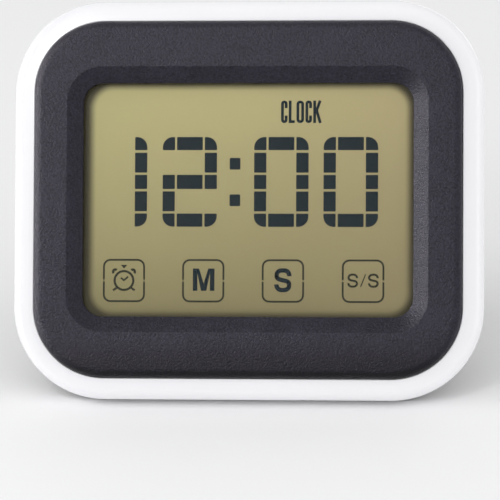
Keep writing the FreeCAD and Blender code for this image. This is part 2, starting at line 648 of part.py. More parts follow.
def battery_door():
    """A plate with a fully rounded lower edge, pins at its ends, finger ribs and a latch tongue."""
    low = COMPARTMENT_Z - DOOR_HALF_H
    high = COMPARTMENT_Z + DOOR_HALF_H
    plate = block(-DOOR_HALF_W, DOOR_HALF_W, DOOR_INNER, BOX_BACK, DOOR_PIVOT_Z, high)
    ends = DOOR_HALF_W + DOOR_PIN_L
    edge = rod(DOOR_T / 2, V(-DOOR_HALF_W, DOOR_PIVOT_Y, DOOR_PIVOT_Z),
               V(DOOR_HALF_W, DOOR_PIVOT_Y, DOOR_PIVOT_Z))
    pins = rod(DOOR_PIN_R, V(-ends, DOOR_PIVOT_Y, DOOR_PIVOT_Z), V(ends, DOOR_PIVOT_Y, DOOR_PIVOT_Z))
    tongue_top = high - DOOR_LAP - DOOR_GAP
    tongue = block(-TONGUE_W / 2, TONGUE_W / 2, DOOR_INNER - TONGUE_T, DOOR_INNER,
                   tongue_top - TONGUE_H, tongue_top)
    thumb = Part.makeSphere(THUMB_R, V(0, BOX_BACK + THUMB_R - THUMB_DEPTH, high))
    grooves = []
    for i in range(RIB_COUNT):
        z = high - GRIP_TOP - RIB_PITCH * i
        grooves.append(rod(GRIP_R, V(-GRIP_W / 2, BOX_BACK, z), V(GRIP_W / 2, BOX_BACK, z)))
    return plate.fuse([edge, pins, tongue]).cut([thumb] + grooves)


def battery(z, side):
    """An AAA cell lying across the clock, its plus end towards the given side."""
    length = CELL_L - CELL_NUB_L
    tip = side * (TUB_HALF_W - CONTACT_T)
    shoulder = tip - side * CELL_NUB_L
    can = rod(CELL_R, V(shoulder - side * length, CELL_Y, z), V(shoulder, CELL_Y, z))
    can = can.makeChamfer(CELL_EDGE, [edge for edge in can.Edges if edge.BoundBox.XLength < 1e-3])
    return can.fuse(rod(CELL_NUB_R, V(shoulder, CELL_Y, z), V(tip, CELL_Y, z)))


def contact_plate(side, z0, z1):
    x0, x1 = sorted((side * (TUB_HALF_W - CONTACT_T), side * TUB_HALF_W))
    return block(x0, x1, TUB_FLOOR, CELL_Y + CONTACT_W / 2, z0, z1)


def contact_tab(z):
    return block(TUB_HALF_W - CONTACT_T, TUB_HALF_W, TUB_FLOOR - TAB_L, TUB_FLOOR,
                 z - TAB_W / 2, z + TAB_W / 2)


def contact_spring(side, z):
    """A conical spring from the contact plate to the cell's flat end, in short straight runs."""
    room = SPRING_ROOM - 2 * SPRING_WIRE_R
    wide = CELL_R - 2 * SPRING_WIRE_R - CELL_PLAY
    count = SPRING_TURNS * SPRING_SIDES
    points = []
    for i in range(count + 1):
        angle = 2 * math.pi * i / SPRING_SIDES
        radius = CELL_NUB_R + (wide - CELL_NUB_R) * i / count
        points.append(V(radius * math.cos(angle), radius * math.sin(angle), room * i / count))
    section = six_sided(SPRING_WIRE_R, points[0], points[1].sub(points[0]), points[0])
    coil = Part.makePolygon(points).makePipeShell([section], True, False, 1)
    coil.rotate(V(0, 0, 0), V(0, 1, 0), side * 90)
    coil.translate(V(side * (TUB_HALF_W - CONTACT_T - room - SPRING_WIRE_R), CELL_Y, z))
    return coil


def plus_contact():
    z = cell_heights()[1]
    return contact_plate(1, z - CONTACT_W / 2, z + CONTACT_W / 2).fuse(contact_tab(z))


def minus_contact():
    z = cell_heights()[0]
    plate = contact_plate(1, z - CONTACT_W / 2, z + CONTACT_W / 2).fuse(contact_tab(z))
    return [plate, contact_spring(1, z)]


def bridge_contact():
    low, high = cell_heights()
    return [contact_plate(-1, low - CONTACT_W / 2, high + CONTACT_W / 2), contact_spring(-1, high)]


def buzzer_disc():
    y1 = BACK_INNER - BUZZER_RING
    brass = along_y(BUZZER_R, 0, BUZZER_Z, y1 - BUZZER_T / 2, y1)
    ceramic = along_y(CERAMIC_R, 0, BUZZER_Z, y1 - BUZZER_T, y1 - BUZZER_T / 2)
    return brass.fuse(ceramic)


def wire(points):
    """Straight runs joined by tangent arcs as large as the runs allow."""
    along = points[1].sub(points[0])
    end = Part.Face(six_sided(WIRE_R, points[0], along, points[2].sub(points[1])))
    at = points[0]
    pieces = []
    for before, corner, after in zip(points, points[1:], points[2:]):
        back = before.sub(corner)
        ahead = after.sub(corner)
        reach = 0.45 * min(back.Length, ahead.Length)
        turn = math.pi - back.getAngle(ahead)
        radius = reach / math.tan(turn / 2)
        way = V(back).normalize().multiply(-1)
        start = corner.sub(V(way).multiply(reach))
        axis = way.cross(ahead).normalize()
        centre = start.add(axis.cross(way).multiply(radius))
        pieces.append(end.extrude(start.sub(at)))
        end.translate(start.sub(at))
        pieces.append(end.revolve(centre, axis, math.degrees(turn)))
        end.rotate(centre, axis, math.degrees(turn))
        at = corner.add(V(ahead).normalize().multiply(reach))
    pieces.append(end.extrude(points[-1].sub(at)))
    return pieces[0].fuse(pieces[1:])


def battery_wire(z):
    """From a contact's solder tab up and forward to the board."""
    x = TUB_HALF_W + WIRE_R
    y = TUB_FLOOR - WIRE_TAB_DROP - WIRE_R
    top = z + WIRE_RISE
    return wire([V(x, y, z), V(x, y, top), V(x, BOARD_BACK + WIRE_END_GAP, top)])


def buzzer_wire(side):
    x = side * BUZZER_WIRE_X
    wide = side * (BUZZER_WIRE_X + BUZZER_WIRE_SPREAD)
    y = BACK_INNER - BUZZER_RING - BUZZER_T - WIRE_END_GAP
    step = (y - BOARD_BACK) / 3
    z = BUZZER_Z - BUZZER_WIRE_X
    return wire([V(x, y, z), V(x, y - step, z), V(wide, y - 2 * step, z - step / 2),
                 V(wide, BOARD_BACK + WIRE_END_GAP, z - step / 2)])


def lean():
    """The angle at which the rim's rear edge and the stand's foot both touch the table."""
    angle = math.radians(STAND_OPEN)
    foot_y = HINGE_Y + STAND_LENGTH * math.sin(angle) - LEG_W / 2 * math.cos(angle)
    foot_z = HINGE_Z - STAND_LENGTH * math.cos(angle) - LEG_W / 2 * math.sin(angle)
    return math.atan2(foot_z, foot_y)


def pieces():
    upper, lower = cell_heights()[1], cell_heights()[0]
    return {
        "front_frame": front_frame(),
        "bezel": bezel(),
        "window_tape": window_tape(),
        "display_window": display_window(),
        "touch_film": touch_film(),
        "touch_tail": touch_tail(),
        "lcd_front_glass": lcd_plate(LCD_FRONT, GLASS_T, LCD_BOTTOM),
        "lcd_rear_glass": lcd_plate(REAR_GLASS_FRONT, GLASS_T, LCD_BOTTOM - LCD_LEDGE),
        "lcd_reflector": lcd_plate(REFLECTOR_FRONT, REFLECTOR_T, LCD_BOTTOM - LCD_LEDGE),
        "lcd_contact_strip": lcd_contact_strip(),
        "lcd_holder": lcd_holder(),
        "main_board": main_board(),
        "board_screws": board_screws(),
        "controller_chip": controller_chip(),
        "crystal": crystal(),
        "board_capacitors": board_capacitors(),
        "rear_housing": rear_housing(),
        "case_screws": case_screws(),
        "stand": stand(),
        "battery_door": battery_door(),
        "upper_battery": battery(upper, 1),
        "lower_battery": battery(lower, -1),
        "plus_contact": plus_contact(),
        "minus_contact": minus_contact(),
        "bridge_contact": bridge_contact(),
        "buzzer_disc": buzzer_disc(),
        "buzzer_wires": [buzzer_wire(-1), buzzer_wire(1)],
        "red_wire": battery_wire(upper),
        "black_wire": battery_wire(lower),
    }


def solids_of(shape):
    shapes = shape if isinstance(shape, list) else [shape]
    return [solid for item in shapes for solid in item.Solids]


def place(y, z, angle, shift):
    """Where a point of the upright case lies once the clock leans on its stand."""
    return (y * math.cos(angle) + z * math.sin(angle) + shift,
            z * math.cos(angle) - y * math.sin(angle))


def main():
    os.makedirs("parts", exist_ok=True)
    angle = lean()
    made = {name: Part.makeCompound(solids_of(shape)) for name, shape in pieces().items()}
    for shape in made.values():
        shape.rotate(V(0, 0, 0), V(1, 0, 0), -math.degrees(angle))
    box = Part.makeCompound(list(made.values())).optimalBoundingBox(False)
    shift = -(box.YMin + box.YMax) / 2
    for name, shape in made.items():
        shape.translate(V(0, shift, 0))
        shape.exportStep("parts/%s.step" % name)
    print("lean %.4f degrees, moved %.5f" % (math.degrees(angle), shift))
    print("size %.3f x %.3f x %.3f, lowest %.4f" % (box.XLength, box.YLength, box.ZLength, box.ZMin))
    print("stand hinge at %.4f, %.4f" % place(HINGE_Y, HINGE_Z, angle, shift))
    print("door hinge at %.4f, %.4f" % place(DOOR_PIVOT_Y, DOOR_PIVOT_Z, angle, shift))
    print("window centre at %.4f, %.4f" % place(-LCD_FRONT, WINDOW_Z, angle, shift))
    print("back face at %.4f, %.4f" % place(BOX_BACK, BUZZER_Z, angle, shift))


main()
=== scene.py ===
import json
import math

import bmesh
import bpy
import numpy as np
from mathutils import Matrix, Vector


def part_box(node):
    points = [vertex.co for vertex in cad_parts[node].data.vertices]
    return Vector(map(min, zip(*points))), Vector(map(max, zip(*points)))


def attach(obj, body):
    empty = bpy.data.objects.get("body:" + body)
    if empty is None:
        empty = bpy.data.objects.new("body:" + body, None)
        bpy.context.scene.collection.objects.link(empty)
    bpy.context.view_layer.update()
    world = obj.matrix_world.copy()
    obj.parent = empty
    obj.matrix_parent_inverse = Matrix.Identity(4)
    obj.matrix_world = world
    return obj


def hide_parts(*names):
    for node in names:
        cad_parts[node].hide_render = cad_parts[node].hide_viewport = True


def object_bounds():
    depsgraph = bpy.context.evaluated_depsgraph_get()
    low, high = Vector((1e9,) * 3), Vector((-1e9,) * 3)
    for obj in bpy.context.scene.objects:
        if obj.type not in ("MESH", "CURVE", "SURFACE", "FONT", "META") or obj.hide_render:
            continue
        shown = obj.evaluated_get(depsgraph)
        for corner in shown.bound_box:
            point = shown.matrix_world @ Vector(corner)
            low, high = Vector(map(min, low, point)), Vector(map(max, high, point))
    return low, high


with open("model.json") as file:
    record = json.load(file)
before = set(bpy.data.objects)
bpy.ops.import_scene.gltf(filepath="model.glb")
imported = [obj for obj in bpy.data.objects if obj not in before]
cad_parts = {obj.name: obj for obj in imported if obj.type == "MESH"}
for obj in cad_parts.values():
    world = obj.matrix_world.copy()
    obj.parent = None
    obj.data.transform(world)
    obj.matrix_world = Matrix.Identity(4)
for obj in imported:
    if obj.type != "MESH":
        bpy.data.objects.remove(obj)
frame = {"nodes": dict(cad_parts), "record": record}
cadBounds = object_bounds()
nodes = frame["nodes"]
mm = 0.001

# The case's own upright axes, in millimetres: x right, y back from the seam, z up from the rim.
# The clock leans back, and the axis of its back face says how far.
caseSizes = {"width": 112.0, "height": 95.0, "corner": 22.0, "bezelFront": 9.95, "paneY": -5.7,
             "paneZ": 47.45}
backAxis = frame["record"]["mounts"][0]["axis"]
leanCos, leanSin = backAxis[1], -backAxis[2]
lean = Matrix(((1, 0, 0), (0, leanCos, leanSin), (0, -leanSin, leanCos)))
paneLow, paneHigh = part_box("display_window")
paneMiddle = (paneLow + paneHigh) / 2
caseOrigin = paneMiddle - lean @ Vector((0, caseSizes["paneY"], caseSizes["paneZ"])) * mm
centreZ = caseSizes["height"] / 2


def toWorld(points):
    # turn by the lean, scale to metres and move to the case's origin
    return np.asarray(points, float).reshape(-1, 3) @ np.array(lean).T * mm + np.array(caseOrigin)


# shader maths
class Value:
    # a socket in a finish; plain arithmetic on it adds Math nodes
    def __init__(self, finish, socket):
        self.finish = finish
        self.socket = socket

    def combine(self, operation, *terms):
        return self.finish.node("ShaderNodeMath", {"operation": operation}, dict(enumerate(terms)))

    def __add__(self, other):
        return self.combine("ADD", self, other)

    def __radd__(self, other):
        return self.combine("ADD", other, self)

    def __sub__(self, other):
        return self.combine("SUBTRACT", self, other)

    def __rsub__(self, other):
        return self.combine("SUBTRACT", other, self)

    def __mul__(self, other):
        return self.combine("MULTIPLY", self, other)

    def __rmul__(self, other):
        return self.combine("MULTIPLY", other, self)

    def __truediv__(self, other):
        return self.combine("DIVIDE", self, other)

    def __pow__(self, other):
        return self.combine("POWER", self, other)

    def __gt__(self, other):
        return self.combine("GREATER_THAN", self, other)

    def __abs__(self):
        return self.combine("ABSOLUTE", self)

    def atLeast(self, other):
        return self.combine("MAXIMUM", self, other)


class Finish:
    # the nodes of a material, or those of the room's light
    def __init__(self, name, isRoom=False):
        self.owner = (bpy.data.worlds if isRoom else bpy.data.materials).new(name)
        self.owner.use_nodes = True
        self.tree = self.owner.node_tree
        self.tree.nodes.clear()

    def node(self, kind, settings=None, sockets=None, output=0):
        # settings come first, because they decide which sockets a node has
        made = self.tree.nodes.new(kind)
        for key, value in (settings or {}).items():
            setattr(made, key, value)
        for key, value in (sockets or {}).items():
            if isinstance(value, Value):
                self.tree.links.new(value.socket, made.inputs[key])
            elif isinstance(value, tuple) and made.inputs[key].type == "RGBA":
                made.inputs[key].default_value = (*value, 1)
            else:
                made.inputs[key].default_value = value
        return Value(self, made.outputs[output]) if made.outputs else None

    def place(self):
        return self.node("ShaderNodeTexCoord", output="Object")

    def stretched(self, scale):
        return self.node("ShaderNodeMapping", None, {"Vector": self.place(), "Scale": scale})

    def axis(self, name):
        return self.node("ShaderNodeSeparateXYZ", None, {"Vector": self.place()}, name)

    def noise(self, size, detail=2.0, rough=0.5, where=None):
        # size is that of one blotch, in millimetres
        return self.node("ShaderNodeTexNoise", None, {"Vector": where or self.place(),
                                                      "Scale": 1 / (size * mm), "Detail": detail,
                                                      "Roughness": rough})

    def blend(self, factor, first, second):
        # a Mix node's colours are its inputs 6 and 7, and its output 2
        return self.node("ShaderNodeMix", {"data_type": "RGBA"}, {0: factor, 6: first, 7: second}, 2)

    def fade(self, value, low, high, least=0.0):
        # a soft rise from least, where the value is low, to one, where it is high
        return self.node("ShaderNodeMapRange", {"interpolation_type": "SMOOTHSTEP"},
                         {"Value": value, "From Min": low, "From Max": high, "To Min": least})

    def bump(self, height, depth):
        # depth is in millimetres
        return self.node("ShaderNodeBump", None, {"Height": height, "Distance": depth * mm, "Strength": 1.0})

    def surface(self, **sockets):
        named = {key.replace("_", " "): value for key, value in sockets.items()}
        return self.done(self.node("ShaderNodeBsdfPrincipled", None, named))

    def done(self, shader, kind="ShaderNodeOutputMaterial"):
        self.node(kind, None, {"Surface": shader})
        return self.owner


plasticLook = {"mottle": 6.0, "fineShare": 0.6, "fineSwing": 0.14, "broadSwing": 0.06,
               "paintedShadeLow": 6.0, "paintedShadeHigh": 16.0}


def mouldedPlastic(name, dark, light, grain, depth, rough, gloss=0.5, speckle=1.0, foot=1.0,
                   sheen=(1.0, 1.0, 1.0)):
    # two close tones mottled by a fine grain and by broad blotches, which also vary the roughness;
    # speckle stretches the grain's contrast about its middle, and foot is the share of the tone that is
    # left in the painted shade that darkens the face under the window
    look = plasticLook
    finish = Finish(name)
    fine = (finish.noise(grain, 3, 0.6) - 0.5) * speckle + 0.5
    broad = finish.noise(look["mottle"])
    share = look["fineShare"]
    colour = finish.blend(fine * share + broad * (1 - share), dark, light)
    # painted shade: below the window the tone darkens toward black, keeping only the foot share of it
    if foot < 1.0:
        face = -caseSizes["bezelFront"]
        low, high = toWorld([(0, face, look["paintedShadeLow"]), (0, face, look["paintedShadeHigh"])])[:, 2]
        colour = finish.blend(finish.fade(finish.axis("Z"), low, high, foot), (0.0, 0.0, 0.0), colour)
    worn = rough + (fine - 0.5) * look["fineSwing"] + (broad - 0.5) * look["broadSwing"]
    return finish.surface(Base_Color=colour, Roughness=worn, Normal=finish.bump(fine, depth),
                          Specular_IOR_Level=gloss, Specular_Tint=sheen)


metalLook = {"stretch": (0.08, 1, 1), "stain": 2.2, "stainShare": 0.5, "darker": 0.72,
             "lineSwing": 0.2, "stainSwing": 0.06, "depth": 0.004}


def plainMetal(name, colour, rough, scratch):
    # fine scratches drawn out along x, and a faint blotchy tarnish
    look = metalLook
    finish = Finish(name)
    lines = finish.noise(scratch, 3, 0.6, finish.stretched(look["stretch"]))
    stain = finish.noise(look["stain"], 3, 0.5)
    tarnish = tuple(c * look["darker"] for c in colour)
    worn = rough + (lines - 0.5) * look["lineSwing"] + stain * look["stainSwing"]
    return finish.surface(Base_Color=finish.blend(stain * look["stainShare"], colour, tarnish),
                          Metallic=1.0, Roughness=worn, Normal=finish.bump(lines, look["depth"]))


rimLook = {"dark": (0.880, 0.876, 0.902), "light": (0.900, 0.897, 0.921), "cloud": 25, "peel": 1.6,
           "speck": 0.35, "peelShare": 0.7, "depth": 0.006, "rough": 0.24, "swing": 0.08, "gloss": 0.45}


def makeRimWhite():
    # glossy white moulding: two close tones in broad clouds, and a faint orange peel
    look = rimLook
    finish = Finish("rimWhite")
    peel = finish.noise(look["peel"])
    speck = finish.noise(look["speck"])
    relief = peel * look["peelShare"] + speck * (1 - look["peelShare"])
    colour = finish.blend(finish.noise(look["cloud"]), look["dark"], look["light"])
    return finish.surface(Base_Color=colour, Roughness=look["rough"] + (speck - 0.5) * look["swing"],
                          Specular_IOR_Level=look["gloss"], Normal=finish.bump(relief, look["depth"]))


clearLook = {"tint": (0.985, 0.985, 0.97), "ripple": 14, "depth": 0.01, "rough": 0.03, "bend": 1.22}


def makePane():
    # clear acrylic: what lies behind shows through, and its face mirrors more at a glancing angle
    look = clearLook
    finish = Finish("clearPane")
    through = finish.node("ShaderNodeBsdfTransparent", None, {"Color": look["tint"]})
    ripple = finish.bump(finish.noise(look["ripple"], 1, 0.4), look["depth"])
    face = finish.node("ShaderNodeBsdfGlossy", None, {"Roughness": look["rough"], "Normal": ripple})
    share = finish.node("ShaderNodeFresnel", None, {"IOR": look["bend"]})
    return finish.done(finish.node("ShaderNodeMixShader", None, {0: share, 1: through, 2: face}))


displayLook = {"top": (0.720, 0.630, 0.340), "bottom": (0.248, 0.211, 0.106),
               "green": (0.550, 0.528, 0.252), "greenShare": 0.6,
               "warm": (0.420, 0.342, 0.205), "warmShare": 0.45,
               "speck": (0.7, 0.66, 0.40), "speckShare": 0.10, "grain": 0.3, "depth": 0.004,
               "rough": 0.42, "swing": 0.1, "gloss": 0.06,
               "edge": (0.075, 0.064, 0.032), "half": (38.55, 27.75), "aside": 0.4, "round": 6.0,
               "fadeOut": -0.5, "fadeIn": 1.9}


def makeDisplay():
    # olive display glass: painted light makes it lighter at the top and darker at the bottom, it is greener
    # on the left and warmer on the right, and a painted shadow darkens it where the lip round it shades it
    look = displayLook
    finish = Finish("displayOlive")
    low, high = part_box("lcd_front_glass")
    rise = (finish.axis("Z") - low.z) / (high.z - low.z)
    across = (finish.axis("X") - low.x) / (high.x - low.x)
    # painted light: the tone rises from the dark bottom colour to the light top colour
    tone = finish.blend(rise, look["bottom"], look["top"])
    tone = finish.blend((1 - across) * rise * look["greenShare"], tone, look["green"])
    tone = finish.blend(across * across * look["warmShare"], tone, look["warm"])
    grain = finish.noise(look["grain"], 2, 0.6)
    tone = finish.blend(grain * look["speckShare"], tone, look["speck"])
    # distance in from the window's rounded outline: the corner's radius less the way from its centre
    upright = finish.node("ShaderNodeVectorMath", {"operation": "DOT_PRODUCT"},
                          {0: finish.place(), 1: (0.0, leanSin, leanCos)}, "Value")
    middle = paneMiddle.y * leanSin + paneMiddle.z * leanCos
    # the painted lip shade sits a little to the right, so it reaches further in on the left, where the light
    # comes from
    aside = finish.axis("X") - look["aside"] * mm
    sides = ((aside, look["half"][0]), (upright - middle, look["half"][1]))
    over = [(abs(value / mm) - (half - look["round"])).atLeast(0.0) for value, half in sides]
    inside = look["round"] - (over[0] * over[0] + over[1] * over[1]) ** 0.5
    tone = finish.blend(finish.fade(inside, look["fadeOut"], look["fadeIn"]), look["edge"], tone)
    return finish.surface(Base_Color=tone, Roughness=look["rough"] + (grain - 0.5) * look["swing"],
                          Specular_IOR_Level=look["gloss"], Normal=finish.bump(grain, look["depth"]))


inkLook = {"grain": 0.5, "lighter": 1.35, "rough": 0.5, "swing": 0.1, "gloss": 0.04}


def makeInk(name, colour):
    # one dark tone that lightens a little with a fine grain
    look = inkLook
    finish = Finish(name)
    grain = finish.noise(look["grain"])
    tone = finish.blend(grain, colour, tuple(c * look["lighter"] for c in colour))
    return finish.surface(Base_Color=tone, Roughness=look["rough"] + (grain - 0.5) * look["swing"],
                          Specular_IOR_Level=look["gloss"])


boardLook = {"mask": (0.012, 0.085, 0.03), "overTrack": (0.03, 0.19, 0.06), "track": 9, "trackWidth": 0.03,
             "weave": 0.9, "trackShare": 0.8, "depth": 0.03, "rough": 0.32, "swing": 0.1}


def makeBoard():
    # green solder mask over a staggered net of tracks that stand a little proud, and a fine weave
    look = boardLook
    finish = Finish("boardGreen")
    tracks = finish.node("ShaderNodeTexBrick", {"offset": 0.5},
                         {"Vector": finish.place(), "Scale": 1 / (look["track"] * mm),
                          "Mortar Size": look["trackWidth"]}, "Fac")
    weave = finish.node("ShaderNodeTexVoronoi", None,
                        {"Vector": finish.place(), "Scale": 1 / (look["weave"] * mm)})
    relief = tracks * look["trackShare"] + weave * (1 - look["trackShare"])
    return finish.surface(Base_Color=finish.blend(tracks, look["mask"], look["overTrack"]),
                          Roughness=look["rough"] + weave * look["swing"],
                          Normal=finish.bump(relief, look["depth"]))


jacketLook = {"film": (0.014, 0.055, 0.05), "band": (0.62, 0.63, 0.60), "bandFrom": 9.0, "bandTo": 12.5,
              "grain": 0.6, "depth": 0.006, "rough": 0.3, "swing": 0.1, "coat": 0.4}


def makeJacket():
    # printed film round a cell: dark green, with a pale band near one end and a fine grain
    look = jacketLook
    finish = Finish("cellJacket")
    grain = finish.noise(look["grain"])
    along = finish.axis("X") / mm
    band = (along > look["bandFrom"]) - (along > look["bandTo"])
    return finish.surface(Base_Color=finish.blend(band, look["film"], look["band"]),
                          Roughness=look["rough"] + grain * look["swing"], Coat_Weight=look["coat"],
                          Normal=finish.bump(grain, look["depth"]))


# a plastic's dark and light tones, its grain's size and depth, its roughness and its gloss;
# a metal's colour, its roughness and the size of its scratches
finishes = {
    "rim_white": makeRimWhite(),
    # the bezel's foot of 0.1 paints a shade on its face below the window
    "bezel_charcoal": mouldedPlastic("bezelCharcoal", (0.0028, 0.0025, 0.0056), (0.0305, 0.0290, 0.0415),
                                     0.48, 0.080, 0.40, 0.20, speckle=3.4, foot=0.1,
                                     sheen=(0.93, 0.88, 1.0)),
    "housing_charcoal": mouldedPlastic("housingCharcoal", (0.014, 0.0135, 0.017), (0.026, 0.025, 0.031),
                                       0.55, 0.008, 0.29),
    "stand_charcoal": mouldedPlastic("standCharcoal", (0.015, 0.0145, 0.019), (0.027, 0.026, 0.033),
                                     0.7, 0.008, 0.22),
    "clear_window": makePane(),
    "display_glass": makeDisplay(),
    "reflector": plainMetal("reflectorFoil", (0.72, 0.72, 0.70), 0.4, 0.2),
    "black_tape": mouldedPlastic("blackTape", (0.008, 0.008, 0.008), (0.016, 0.016, 0.016),
                                 0.3, 0.01, 0.6),
    "flex_tail": mouldedPlastic("flexTail", (0.42, 0.20, 0.045), (0.55, 0.29, 0.07), 0.5, 0.004, 0.35),
    "contact_rubber": mouldedPlastic("contactRubber", (0.03, 0.03, 0.032), (0.05, 0.05, 0.052),
                                     0.3, 0.02, 0.75),
    "holder_white": mouldedPlastic("holderWhite", (0.66, 0.66, 0.64), (0.72, 0.72, 0.70),
                                   0.5, 0.01, 0.4),
    "board_green": makeBoard(),
    "screw_steel": plainMetal("screwSteel", (0.60, 0.60, 0.61), 0.3, 0.12),
    "chip_resin": mouldedPlastic("chipResin", (0.006, 0.006, 0.006), (0.014, 0.014, 0.014),
                                 0.9, 0.02, 0.22),
    "can_metal": plainMetal("canMetal", (0.68, 0.68, 0.70), 0.22, 0.15),
    "capacitor_brown": mouldedPlastic("capacitorBrown", (0.22, 0.14, 0.08), (0.30, 0.2, 0.12),
                                      0.3, 0.01, 0.5),
    "cell_jacket": makeJacket(),
    "contact_plating": plainMetal("contactPlating", (0.74, 0.72, 0.68), 0.24, 0.1),
    "buzzer_brass": plainMetal("buzzerBrass", (0.72, 0.52, 0.22), 0.28, 0.12),
    "wire_red": mouldedPlastic("wireRed", (0.42, 0.012, 0.01), (0.52, 0.02, 0.016), 0.5, 0.004, 0.35),
    "wire_black": mouldedPlastic("wireBlack", (0.010, 0.010, 0.011), (0.018, 0.018, 0.019),
                                 0.5, 0.004, 0.35),
}
inkDark = makeInk("segmentInk", (0.010, 0.020, 0.028))
inkLine = makeInk("outlineInk", (0.036, 0.036, 0.024))
print("finishes made")


# mesh helpers
def keepPiece(name, mesh, slot, body="case", material=None, stands=()):
    # an object at the origin that rides on its body and stands in for the named solids
    piece = bpy.data.objects.new(name, mesh)
    bpy.context.scene.collection.objects.link(piece)
    mesh.materials.clear()
    mesh.materials.append(material or finishes[slot])
    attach(piece, body)
    if stands:
        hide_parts(*stands)
    return piece


def cleanMesh(mesh, work, crisp):
    # the worked mesh, all smooth but for the edges whose faces meet at more than the crisp angle
    work.to_mesh(mesh)
    work.free()
    mesh.shade_smooth()
    mesh.set_sharp_from_angle(angle=math.radians(crisp))
    return mesh


def meshFrom(name, shells, crisp=30.0, merge=0.0, place=toWorld):
    # shells are (points, quads, flat ends) in the case's axes, joined with their faces numbered on;
    # place turns all points into metres, and points closer than merge become one
    points, faces, start = [], [], 0
    for shellPoints, quads, *ends in shells:
        flat = np.asarray(shellPoints, float).reshape(-1, 3)
        points.append(flat)
        faces += (quads + start).tolist() + [(end + start).tolist() for end in ends]
        start += len(flat)
    mesh = bpy.data.meshes.new(name)
    mesh.from_pydata(place(np.concatenate(points)).tolist(), [], faces)
    work = bmesh.new()
    work.from_mesh(mesh)
    if merge:
        bmesh.ops.remove_doubles(work, verts=work.verts, dist=merge)
    bmesh.ops.recalc_face_normals(work, faces=work.faces)
    return cleanMesh(mesh, work, crisp)


def gridFaces(rows, columns, wrapRows=False):
    # quads between each row and the next, and each column and the next, round to the first
    r = np.arange(rows if wrapRows else rows - 1)[:, None]
    c = np.arange(columns)[None, :]
    after, beside = (r + 1) % rows, (c + 1) % columns
    quads = [r * columns + c, r * columns + beside, after * columns + beside, after * columns + c]
    return np.stack(quads, -1).reshape(-1, 4)


def flatEnds(rows, columns):
    # one face over the first row and one, turned the other way, over the last
    first = np.arange(columns)
    return first, first[::-1] + (rows - 1) * columns


def filleted(corners, closed=True, steps=8):
    # a polyline whose corners (u, v, radius) become arcs tangent to both runs: each arc's middle lies
    # on the corner's bisector, and its points swing evenly from one touching point to the other
    out = []
    count = len(corners)
    for i in range(count):
        u, v, radius = corners[i]
        here = np.array((u, v), float)
        if radius <= 0 or (not closed and i in (0, count - 1)):
            out.append(here[None])
            continue
        back = np.array(corners[i - 1][:2], float) - here
        ahead = np.array(corners[(i + 1) % count][:2], float) - here
        back /= np.linalg.norm(back)
        ahead /= np.linalg.norm(ahead)
        opening = math.acos(np.clip(back @ ahead, -1, 1))
        middle = here + (back + ahead) / np.linalg.norm(back + ahead) * radius / math.sin(opening / 2)
        first = here + back * radius / math.tan(opening / 2) - middle
        last = here + ahead * radius / math.tan(opening / 2) - middle
        sweep = math.pi - opening
        t = np.linspace(0, 1, steps + 1)[:, None]
        out.append(middle + (first * np.sin((1 - t) * sweep) + last * np.sin(t * sweep)) / math.sin(sweep))
    return np.concatenate(out)


def roundedRows(halfW, halfH, corner, middleZ, y, steps=24):
    # each row is a rounded rectangle: a quarter turn round each of four corner centres
    quarter = np.linspace(0, math.pi / 2, steps + 1)
    turn = np.concatenate([quarter + k * math.pi / 2 for k in range(4)])
    sideX = np.repeat([1, -1, -1, 1], steps + 1)
    sideZ = np.repeat([1, 1, -1, -1], steps + 1)
    sizes = (halfW, halfH, corner, middleZ, y)
    halfW, halfH, corner, middleZ, y = (np.asarray(size, float)[:, None] for size in sizes)
    x = sideX * (halfW - corner) + corner * np.cos(turn)
    z = middleZ + sideZ * (halfH - corner) + corner * np.sin(turn)
    return np.stack([x, y + 0 * x, z], -1)


def caseRows(profile):
    # rows that follow the case's outline, drawn in by the profile's first value
    inset, y = profile.T
    return roundedRows(caseSizes["width"] / 2 - inset, caseSizes["height"] / 2 - inset,
                       caseSizes["corner"] - inset, np.full(len(inset), centreZ), y)


def tube(radius, x, z, y0, y1, bore, sides=32):
    # a sleeve along y: the four corners of its wall turned about its axis
    turn = np.linspace(0, 2 * math.pi, sides, endpoint=False)
    reach = np.array([radius, radius, bore, bore])[:, None]
    y = np.array([y0, y1, y1, y0])[:, None]
    rows = np.stack([x + reach * np.cos(turn), y + 0 * turn, z + reach * np.sin(turn)], -1)
    return rows, gridFaces(4, sides, wrapRows=True)


# white rim
rimSizes = {"edge": 7.0, "round": 2.8, "band": 5.05, "bandFront": 7.8, "ledgeFront": 4.2, "ledge": 1.8,
            "reach": 9.5, "wall": 2.2, "nip": 0.25, "postRadius": 3.0, "postBore": 1.1, "postRoot": 0.5,
            "postEnd": 1.2, "screwIn": 8.2}


def caseCorners():
    # on the diagonal of each corner, a set distance in from the outer face
    corner = caseSizes["corner"]
    back = corner - (corner - rimSizes["screwIn"]) * math.sqrt(0.5)
    x, z = caseSizes["width"] / 2 - back, caseSizes["height"] / 2 - back
    return [(sx * x, centreZ + sz * z) for sx in (-1, 1) for sz in (-1, 1)]


def makeRim():
    # a section of band and ledge carried round the case's outline, and a sleeve for each screw
    r = rimSizes
    back = -r["ledgeFront"] + r["ledge"]
    profile = filleted([(0, 0, r["nip"]), (0, -r["edge"], r["round"]), (r["band"], -r["bandFront"], r["nip"]),
                        (r["band"], -r["ledgeFront"], 0), (r["reach"], -r["ledgeFront"], 0),
                        (r["reach"], back, 0), (r["wall"], back, 0), (r["wall"], 0, 0)], steps=10)
    rows = caseRows(profile)
    shells = [(rows, gridFaces(*rows.shape[:2], wrapRows=True))]
    for x, z in caseCorners():
        shells.append(tube(r["postRadius"], x, z, back - r["postRoot"], r["postEnd"], r["postBore"]))
    keepPiece("whiteRim", meshFrom("whiteRim", shells), "rim_white", stands=("front_frame",))


makeRim()

